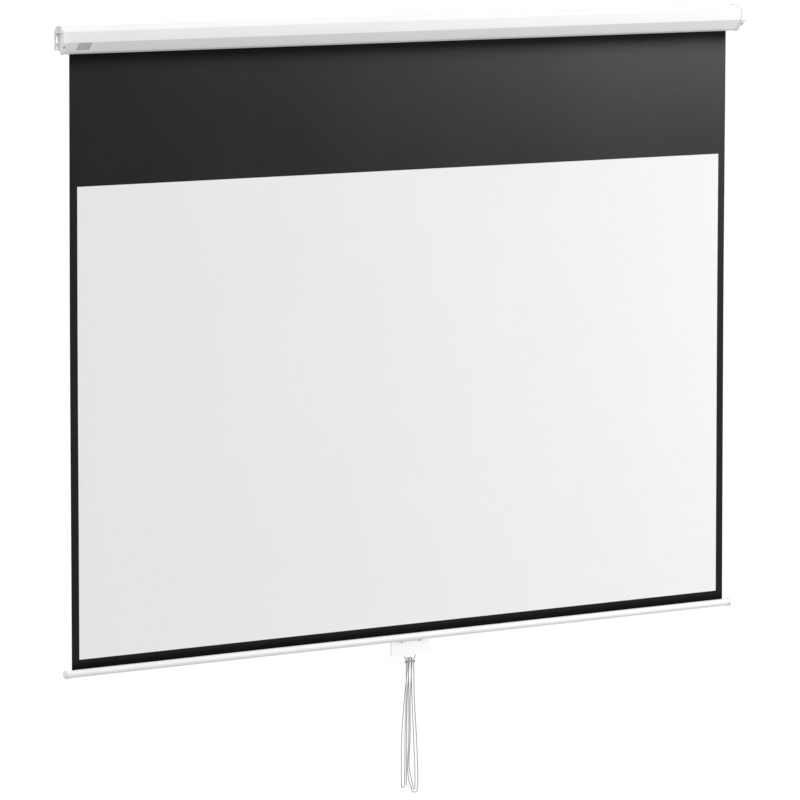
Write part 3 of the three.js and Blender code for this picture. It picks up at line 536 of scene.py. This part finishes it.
def new_piece(name, corners, faces, finishes, body, indices=None):
    """A mesh object that rides on a body; indices gives each face's place in the list of finishes."""
    mesh = bpy.data.meshes.new(name)
    mesh.from_pydata(corners, [], faces)
    for material in finishes:
        mesh.materials.append(FINISHES[material])
    if indices is not None:
        mesh.polygons.foreach_set("material_index", indices)
    mesh.validate()
    piece = new_object(name, mesh)
    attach(piece, body)
    return piece


# Fabric


def lines_between(low, high, stops):
    """Places from low to high about FABRIC_STEP apart, with every stop among them."""
    marks = sorted({low, high, *(s for s in stops if low < s < high)})
    places = [marks[0]]
    for start, end in zip(marks, marks[1:]):
        count = max(1, round((end - start) / FABRIC_STEP))
        places += [start + (end - start) * i / count for i in range(1, count + 1)]
    return places


fabric_low, fabric_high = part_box("screen_fabric")
fabric_half = fabric_high[0]
view_half = fabric_half - SIDE_BORDER
view_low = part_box("bottom_bar")[1][2] + BOTTOM_BORDER
view_high = view_low + VIEW_HEIGHT


def ripple(x, z):
    """How far the hanging fabric stands behind flat: waves and curled side edges, none where it is held."""
    hung = math.sin(math.pi * (z - view_low) / (fabric_high[2] - view_low))
    long_wave = math.sin(LONG_WAVE[0] * x + LONG_WAVE[1] * z)
    short_wave = math.sin(SHORT_WAVE[0] * x + SHORT_WAVE[1] * z + SHORT_WAVE_START)
    waves = RIPPLE_SETBACK + long_wave + SHORT_WAVE_SHARE * short_wave
    from_edge = max(0.0, 1 - (fabric_half - abs(x)) / EDGE_CURL_WIDTH)
    return max(0.0, hung) * (RIPPLE * waves + EDGE_CURL * from_edge**2)


def fabric_piece(name, low_z, high_z, body):
    """A thin closed sheet between two heights, white inside the borders in front and black elsewhere."""
    across = lines_between(-fabric_half, fabric_half, [-view_half, view_half])
    upward = lines_between(low_z, high_z, [view_low, view_high])
    front_y = fabric_low[1]
    back_y = fabric_high[1]
    columns = len(across)
    rows = len(upward)
    corners = [(x, y + ripple(x, z), z) for y in (front_y, back_y) for z in upward for x in across]
    finishes = ["black_surface", "view_surface", "black_backing"]
    black, white, backing = range(len(finishes))
    faces = []
    indices = []
    behind = columns * rows
    for row in range(rows - 1):
        for column in range(columns - 1):
            a = row * columns + column
            b = a + columns
            faces.append((a, a + 1, b + 1, b))
            middle_x = (across[column] + across[column + 1]) / 2
            middle_z = (upward[row] + upward[row + 1]) / 2
            is_view = abs(middle_x) < view_half and view_low < middle_z < view_high
            indices.append(white if is_view else black)
            faces.append((behind + a, behind + b, behind + b + 1, behind + a + 1))
            indices.append(backing)
    bottom = list(range(columns))
    right = [row * columns + columns - 1 for row in range(rows)]
    top = [(rows - 1) * columns + column for column in reversed(range(columns))]
    left = [row * columns for row in reversed(range(rows))]
    rim = bottom + right[1:] + top[1:] + left[1:-1]
    for a, b in zip(rim, rim[1:] + rim[:1]):
        faces.append((b, a, behind + a, behind + b))
        indices.append(black)
    return smoothed(new_piece(name, corners, faces, finishes, body, indices))


def add_fabric():
    """The hanging sheet, which rides on the case, and its bottom border, which stays with the bar."""
    border = fabric_piece("screen_bottom_border", fabric_low[2], view_low, "screen_bar")
    hanging = fabric_piece("screen_sheet", view_low, fabric_high[2], "case")
    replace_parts(hanging, "screen_fabric")
    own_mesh(hanging)


# Cord


def smooth_line(points, step):
    """A centripetal Catmull-Rom curve through the points, as places about a step apart."""
    spots = [2 * points[0] - points[1], *points, 2 * points[-1] - points[-2]]
    line = [points[0]]
    for i in range(1, len(spots) - 2):
        before, start, end, after = spots[i - 1 : i + 3]
        gaps = [math.sqrt((b - a).length) for a, b in ((before, start), (start, end), (end, after))]
        whole = (end - start) / gaps[1]
        leave = (start - before) / gaps[0] - (end - before) / (gaps[0] + gaps[1]) + whole
        arrive = whole - (after - start) / (gaps[1] + gaps[2]) + (after - end) / gaps[2]
        leave *= gaps[1]
        arrive *= gaps[1]
        count = max(1, round((end - start).length / step))
        for k in range(1, count + 1):
            t = k / count
            line.append(
                start * (2 * t**3 - 3 * t**2 + 1)
                + leave * (t**3 - 2 * t**2 + t)
                + end * (3 * t**2 - 2 * t**3)
                + arrive * (t**3 - t**2)
            )
    return line


def dome(ring, outward):
    """The rings that close a tube in a dome that stands on one of its rings."""
    place, side, other, radius = ring
    return [
        (place + outward * radius * math.sin(turn), side, other, radius * math.cos(turn))
        for turn in DOME_TURNS
    ]


def tube_rings(line, radius, closed):
    """A tube's rings, as place, side, other side and radius, and the length of the line up to each one."""
    count = len(line)
    tangents = []
    for i in range(count):
        before = line[i - 1] if closed or i > 0 else line[i]
        after = line[(i + 1) % count] if closed or i < count - 1 else line[i]
        tangents.append((after - before).normalized())
    side = Vector((0, 1, 0))
    if abs(side.dot(tangents[0])) > NEARLY_ALONG:
        side = Vector((1, 0, 0))
    rings = []
    lengths = []
    travelled = 0.0
    for i, (place, tangent) in enumerate(zip(line, tangents)):
        side = (side - tangent * side.dot(tangent)).normalized()
        travelled += (place - line[i - 1]).length if i > 0 else 0.0
        rings.append((place, side, tangent.cross(side), radius))
        lengths.append(travelled)
    if not closed:
        first = dome(rings[0], -tangents[0])
        last = dome(rings[-1 - HOLLOW_RINGS], tangents[-1])
        rings = [*reversed(first), *rings, *last]
        lengths = [lengths[0]] * len(first) + lengths + [lengths[-1]] * len(last)
    return rings, lengths


def tube_piece(name, line, diameter, closed=False):
    """A tube along a line of places, with a map for the braid.

    Unless it is closed on itself, it starts round and ends a little hollow.
    """
    sides = CORD_SIDES
    rings, lengths = tube_rings(line, diameter / 2, closed)
    count = len(rings)
    corners = [
        place + side * radius * math.cos(turn) + other * radius * math.sin(turn)
        for place, side, other, radius in rings
        for turn in (2 * math.pi * k / sides for k in range(sides))
    ]
    spans = count if closed else count - 1
    faces = []
    for i in range(spans):
        for k in range(sides):
            a = i * sides + k
            b = i * sides + (k + 1) % sides
            shift = ((i + 1) % count - i) * sides
            faces.append((a, b, b + shift, a + shift))
    if not closed:
        faces.append(tuple(reversed(range(sides))))
        faces.append(tuple(range((count - 1) * sides, count * sides)))
    piece = new_piece(name, corners, faces, ["cord"], "screen_bar")
    lengths.append(lengths[-1] + (line[0] - line[-1]).length)
    coords = piece.data.uv_layers.new(name="cord").data
    for face in piece.data.polygons[: spans * sides]:
        i, k = divmod(face.index, sides)
        start, end = lengths[i : i + 2]
        spots = ((start, k), (start, k + 1), (end, k + 1), (end, k))
        for loop, (length, turn) in zip(face.loop_indices, spots):
            coords[loop].uv = (length, turn / sides)
    piece.data.shade_smooth()
    return piece


handle_low, handle_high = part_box("pull_handle")
handle_y = (handle_low[1] + handle_high[1]) / 2


def route_point(spot, side=1):
    """A spot of a cord route in the scene, on the right side or, with side at -1, mirrored to the left."""
    x, forward, down = spot
    return Vector((side * x * MM, handle_y - forward * MM, handle_low[2] - down * MM))


def half_round(start, end, is_bottom):
    """The places of the half round that joins two runs of the hank."""
    middle = (start + end) / 2
    half = (end - start) / 2
    depth = -half.length if is_bottom else half.length
    turns = [math.pi * i / TURN_STEPS for i in range(1, TURN_STEPS)]
    return [middle - half * math.cos(turn) + Vector((0, 0, depth * math.sin(turn))) for turn in turns]


def cord_line():
    """The right leg and the whole hank, from the knot to the loose end."""
    points = [route_point(spot) for spot in LEG_ROUTE]
    for i, run in enumerate(HANK_RUNS):
        places = [route_point(spot) for spot in run]
        if i > 0:
            points += half_round(points[-1], places[0], i % 2 == 1)
        points += places
    return smooth_line(points, CORD_STEP)


def knot_piece(name, side):
    """An overhand knot drawn tight, flattened in the pocket behind the handle."""
    leg_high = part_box("cord_leg_right" if side > 0 else "cord_leg_left")[1]
    leg_x = route_point(LEG_ROUTE[0], side)[0]
    centre = Vector((leg_x, leg_high[1] - KNOT_DEPTH / 2, leg_high[2] - KNOT_WIDTH / 2))
    across = (KNOT_WIDTH - KNOT_CORD) / 2 / TREFOIL_REACH
    deep = (KNOT_DEPTH - KNOT_CORD) / 2
    line = []
    for i in range(KNOT_STEPS):
        turn = 2 * math.pi * i / KNOT_STEPS
        trefoil = Vector(
            (
                across * (math.sin(turn) + 2 * math.sin(2 * turn)),
                -deep * math.sin(3 * turn),
                across * (math.cos(turn) - 2 * math.cos(2 * turn)),
            )
        )
        line.append(centre + trefoil)
    return tube_piece(name, line, KNOT_CORD, closed=True)


def tie_piece():
    """Thread wound round the gathered runs, its turns side by side."""
    low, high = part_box("cord_tie")
    middle = (Vector(low) + Vector(high)) / 2
    radius = (high[1] - low[1] - TIE_DIAMETER) / 2
    straight = (high[0] - low[0] - TIE_DIAMETER) / 2 - radius
    pitch = (high[2] - low[2] - TIE_DIAMETER) / TIE_TURNS
    round_length = 4 * straight + 2 * math.pi * radius
    line = []
    for i in range(TIE_TURNS * TIE_STEPS + 1):
        share = i / TIE_STEPS
        along = (share % 1) * round_length
        z = high[2] - TIE_DIAMETER / 2 - share * pitch
        if along < 2 * straight:
            spot = (along - straight, -radius)
        elif along < 2 * straight + math.pi * radius:
            turn = (along - 2 * straight) / radius - math.pi / 2
            spot = (straight + radius * math.cos(turn), radius * math.sin(turn))
        elif along < 4 * straight + math.pi * radius:
            spot = (straight - (along - 2 * straight - math.pi * radius), radius)
        else:
            turn = (along - 4 * straight - math.pi * radius) / radius + math.pi / 2
            spot = (-straight + radius * math.cos(turn), radius * math.sin(turn))
        line.append(Vector((middle.x + spot[0], middle.y + spot[1], z)))
    return tube_piece("cord_tie_thread", line, TIE_DIAMETER)


def add_cords():
    """The pull cord with its hank, its left leg, their knots and the tie."""
    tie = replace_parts(tie_piece(), "cord_tie")
    knots = [knot_piece("cord_knot_left", -1), knot_piece("cord_knot_right", 1)]
    line = cord_line()
    main = tube_piece("pull_cord", line, CORD_DIAMETER)
    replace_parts(main, "cord_leg_right", "cord_hank")
    left_route = [*LEG_ROUTE[:-1], LEFT_LEG_END]
    left_line = smooth_line([route_point(spot, -1) for spot in left_route], CORD_STEP)
    left = tube_piece("pull_cord_left_leg", left_line, CORD_DIAMETER)
    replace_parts(left, "cord_leg_left")


# Screws


def screw_axis(name):
    """A turned node's middle, its axis towards the head, and its corners' places along and off the axis."""
    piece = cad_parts[name]
    spots = np.unique(np.round([v.co for v in piece.data.vertices], 7), axis=0)
    middle = spots.mean(axis=0)
    values, vectors = np.linalg.eigh(np.cov((spots - middle).T))
    odd = 0 if abs(values[1] - values[0]) > abs(values[2] - values[1]) else 2
    axis = vectors[:, odd]
    along = (spots - middle) @ axis
    off = np.linalg.norm(spots - middle - np.outer(along, axis), axis=1)
    if along[off.argmax()] < 0:
        axis = -axis
        along = -along
    return Vector(middle), Vector(axis), along, off


def screw_profile(along, off, head_radius, seat):
    """Radii and heights of a screw's outline from its point to the top of its dome."""
    top = along.max()
    low = along.min()
    shank_radius = off[np.isclose(along, low) & (off > AXIS_SHARE * head_radius)].max()
    point = low + shank_radius * POINT_HEIGHT_SHARE
    profile = [(0.0, point), (shank_radius * POINT_RADIUS_SHARE, point)]
    turns = max(THREAD_LEAST_TURNS, int((seat - low) / THREAD_PITCH))
    pitch = (seat - low) / turns
    for turn in range(turns):
        base = low + pitch * turn
        profile += [(shank_radius * width, base + pitch * rise) for rise, width in THREAD_FORM]
    head_height = top - seat
    profile.append((head_radius * HEAD_SEAT_SHARE, seat))
    profile.append((head_radius, seat + head_height * HEAD_SIDE_SHARE))
    for i in range(1, HEAD_DOME_STEPS):
        turn = math.pi / 2 * i / HEAD_DOME_STEPS
        rise = HEAD_DOME_SHARE + (1 - HEAD_DOME_SHARE) * math.sin(turn)
        profile.append((head_radius * math.cos(turn), seat + head_height * rise))
    profile.append((0.0, top))
    return profile


def turned_shape(profile):
    """A closed shape turned about the Z axis from an outline that starts and ends on it."""
    shape = bmesh.new()
    turns = [2 * math.pi * k / SCREW_SIDES for k in range(SCREW_SIDES)]
    rings = []
    for radius, z in profile:
        if radius > 0:
            places = [(radius * math.cos(turn), radius * math.sin(turn), z) for turn in turns]
        else:
            places = [(0, 0, z)]
        rings.append([shape.verts.new(place) for place in places])
    for lower, upper in zip(rings, rings[1:]):
        for k in range(SCREW_SIDES):
            n = (k + 1) % SCREW_SIDES
            if len(lower) == 1:
                shape.faces.new((lower[0], upper[n], upper[k]))
            elif len(upper) == 1:
                shape.faces.new((lower[k], lower[n], upper[0]))
            else:
                shape.faces.new((lower[k], lower[n], upper[n], upper[k]))
    return shape


def cross_shape(radius, depth, top):
    """A tapered cross about the Z axis that cuts the recess into a screw's head, from its top down."""
    shape = bmesh.new()
    for is_second in (False, True):
        corners = bmesh.ops.create_cube(shape, size=2)["verts"]
        for corner in corners:
            low = corner.co.z < 0
            reach = radius * CROSS_REACH_SHARE * (CROSS_FOOT_REACH if low else 1.0)
            width = radius * CROSS_WIDTH_SHARE * (CROSS_FOOT_WIDTH if low else 1.0)
            z = top - depth if low else top + depth
            corner.co = Vector((corner.co.x * reach, corner.co.y * width, z))
        if is_second:
            quarter = Matrix.Rotation(math.pi / 2, 3, "Z")
            bmesh.ops.rotate(shape, verts=corners, cent=(0, 0, 0), matrix=quarter)
    return shape


def shape_object(name, shape):
    mesh = bpy.data.meshes.new(name)
    shape.to_mesh(mesh)
    shape.free()
    return new_object(name, mesh)


def screw_piece(name, node, body):
    """A cross-head screw in the place of a plain one: domed head, cross recess and thread."""
    middle, axis, along, off = screw_axis(node)
    head_radius = off.max()
    top = along.max()
    seat = along[off > RIM_SHARE * head_radius].min()
    screw = shape_object(name, turned_shape(screw_profile(along, off, head_radius, seat)))
    depth = (top - seat) * CROSS_DEPTH_SHARE
    cutter = shape_object(name + "_cross", cross_shape(head_radius, depth, top))
    cut = screw.modifiers.new("cross", "BOOLEAN")
    cut.object = cutter
    cut.operation = "DIFFERENCE"
    cut.solver = "EXACT"
    cut.use_self = True
    bpy.context.view_layer.update()
    mesh = bpy.data.meshes.new_from_object(screw.evaluated_get(bpy.context.evaluated_depsgraph_get()))
    screw.modifiers.clear()
    screw.data = mesh
    bpy.data.objects.remove(cutter)
    upright = Vector((0, 0, 1)).rotation_difference(axis).to_matrix().to_4x4()
    mesh.transform(Matrix.Translation(middle) @ upright)
    mesh.materials.clear()
    mesh.materials.append(FINISHES["screw_steel"])
    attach(screw, body)
    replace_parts(screw, node)
    return smoothed(screw)


def add_screws():
    for side in ("left", "right"):
        screw_piece(f"cap_cross_screw_{side}", f"cap_screw_{side}", "case")
        screw_piece(f"shell_cross_screw_{side}", f"shell_screw_{side}", "case")
        screw_piece(f"handle_cross_screw_{side}", f"handle_screw_{side}", "screen_bar")


# Studio


def seen_share(tree):
    """1 where a ray comes from the camera or a reflection or passes through glass, and 0 elsewhere."""
    path = add(tree, "ShaderNodeLightPath").outputs
    rays = [path["Is Camera Ray"], path["Is Glossy Ray"], path["Is Transmission Ray"]]
    return sum_of(tree, *rays, operation="MAXIMUM")


def add_studio_light():
    """Even light all round, seen as white."""
    world = bpy.data.worlds.new("studio")
    world.use_nodes = True
    tree = world.node_tree
    tree.nodes.clear()
    level = ranged(tree, seen_share(tree), STUDIO_LEVEL, 1.0, SHARE_RANGE)
    background = add(tree, "ShaderNodeBackground", {"Color": (1, 1, 1, 1), "Strength": level})
    add(tree, "ShaderNodeOutputWorld", {"Surface": background.outputs[0]})
    scene.world = world


def add_lamp():
    data = bpy.data.lights.new("key_light", "AREA")
    data.shape = "RECTANGLE"
    data.size = KEY_WIDTH
    data.size_y = KEY_HEIGHT
    data.energy = KEY_POWER
    lamp = new_object("key_light", data)
    lamp.location = KEY_PLACE
    lamp.rotation_euler = (KEY_AIM - KEY_PLACE).to_track_quat("-Z", "Y").to_euler()


def floor_finish():
    """Pale floor that the camera sees as white where it is lit, and darker where the object shades it."""
    material = bpy.data.materials.new("floor")
    material.use_nodes = True
    tree = material.node_tree
    tree.nodes.clear()
    lit = add(tree, "ShaderNodeBsdfDiffuse", {"Color": (FLOOR_GREY, FLOOR_GREY, FLOOR_GREY, 1)})
    lift = product_of(tree, seen_share(tree), FLOOR_LIFT)
    glow = add(tree, "ShaderNodeEmission", {"Strength": lift})
    both = add(tree, "ShaderNodeAddShader", {0: lit.outputs[0], 1: glow.outputs[0]})
    add(tree, "ShaderNodeOutputMaterial", {"Surface": both.outputs[0]})
    return material


def add_floor():
    turns = [2 * math.pi * i / FLOOR_SIDES for i in range(FLOOR_SIDES)]
    rim = [(FLOOR_RADIUS * math.cos(turn), FLOOR_RADIUS * math.sin(turn), FLOOR_Z) for turn in turns]
    mesh = bpy.data.meshes.new("floor")
    mesh.from_pydata(rim, [], [tuple(range(FLOOR_SIDES))])
    mesh.materials.append(floor_finish())
    new_object("floor", mesh)


scene.view_settings.view_transform = "Standard"
add_camera()
add_cords()
add_fabric()
add_screws()
dress_cad_nodes()
add_studio_light()
add_lamp()
add_floor()
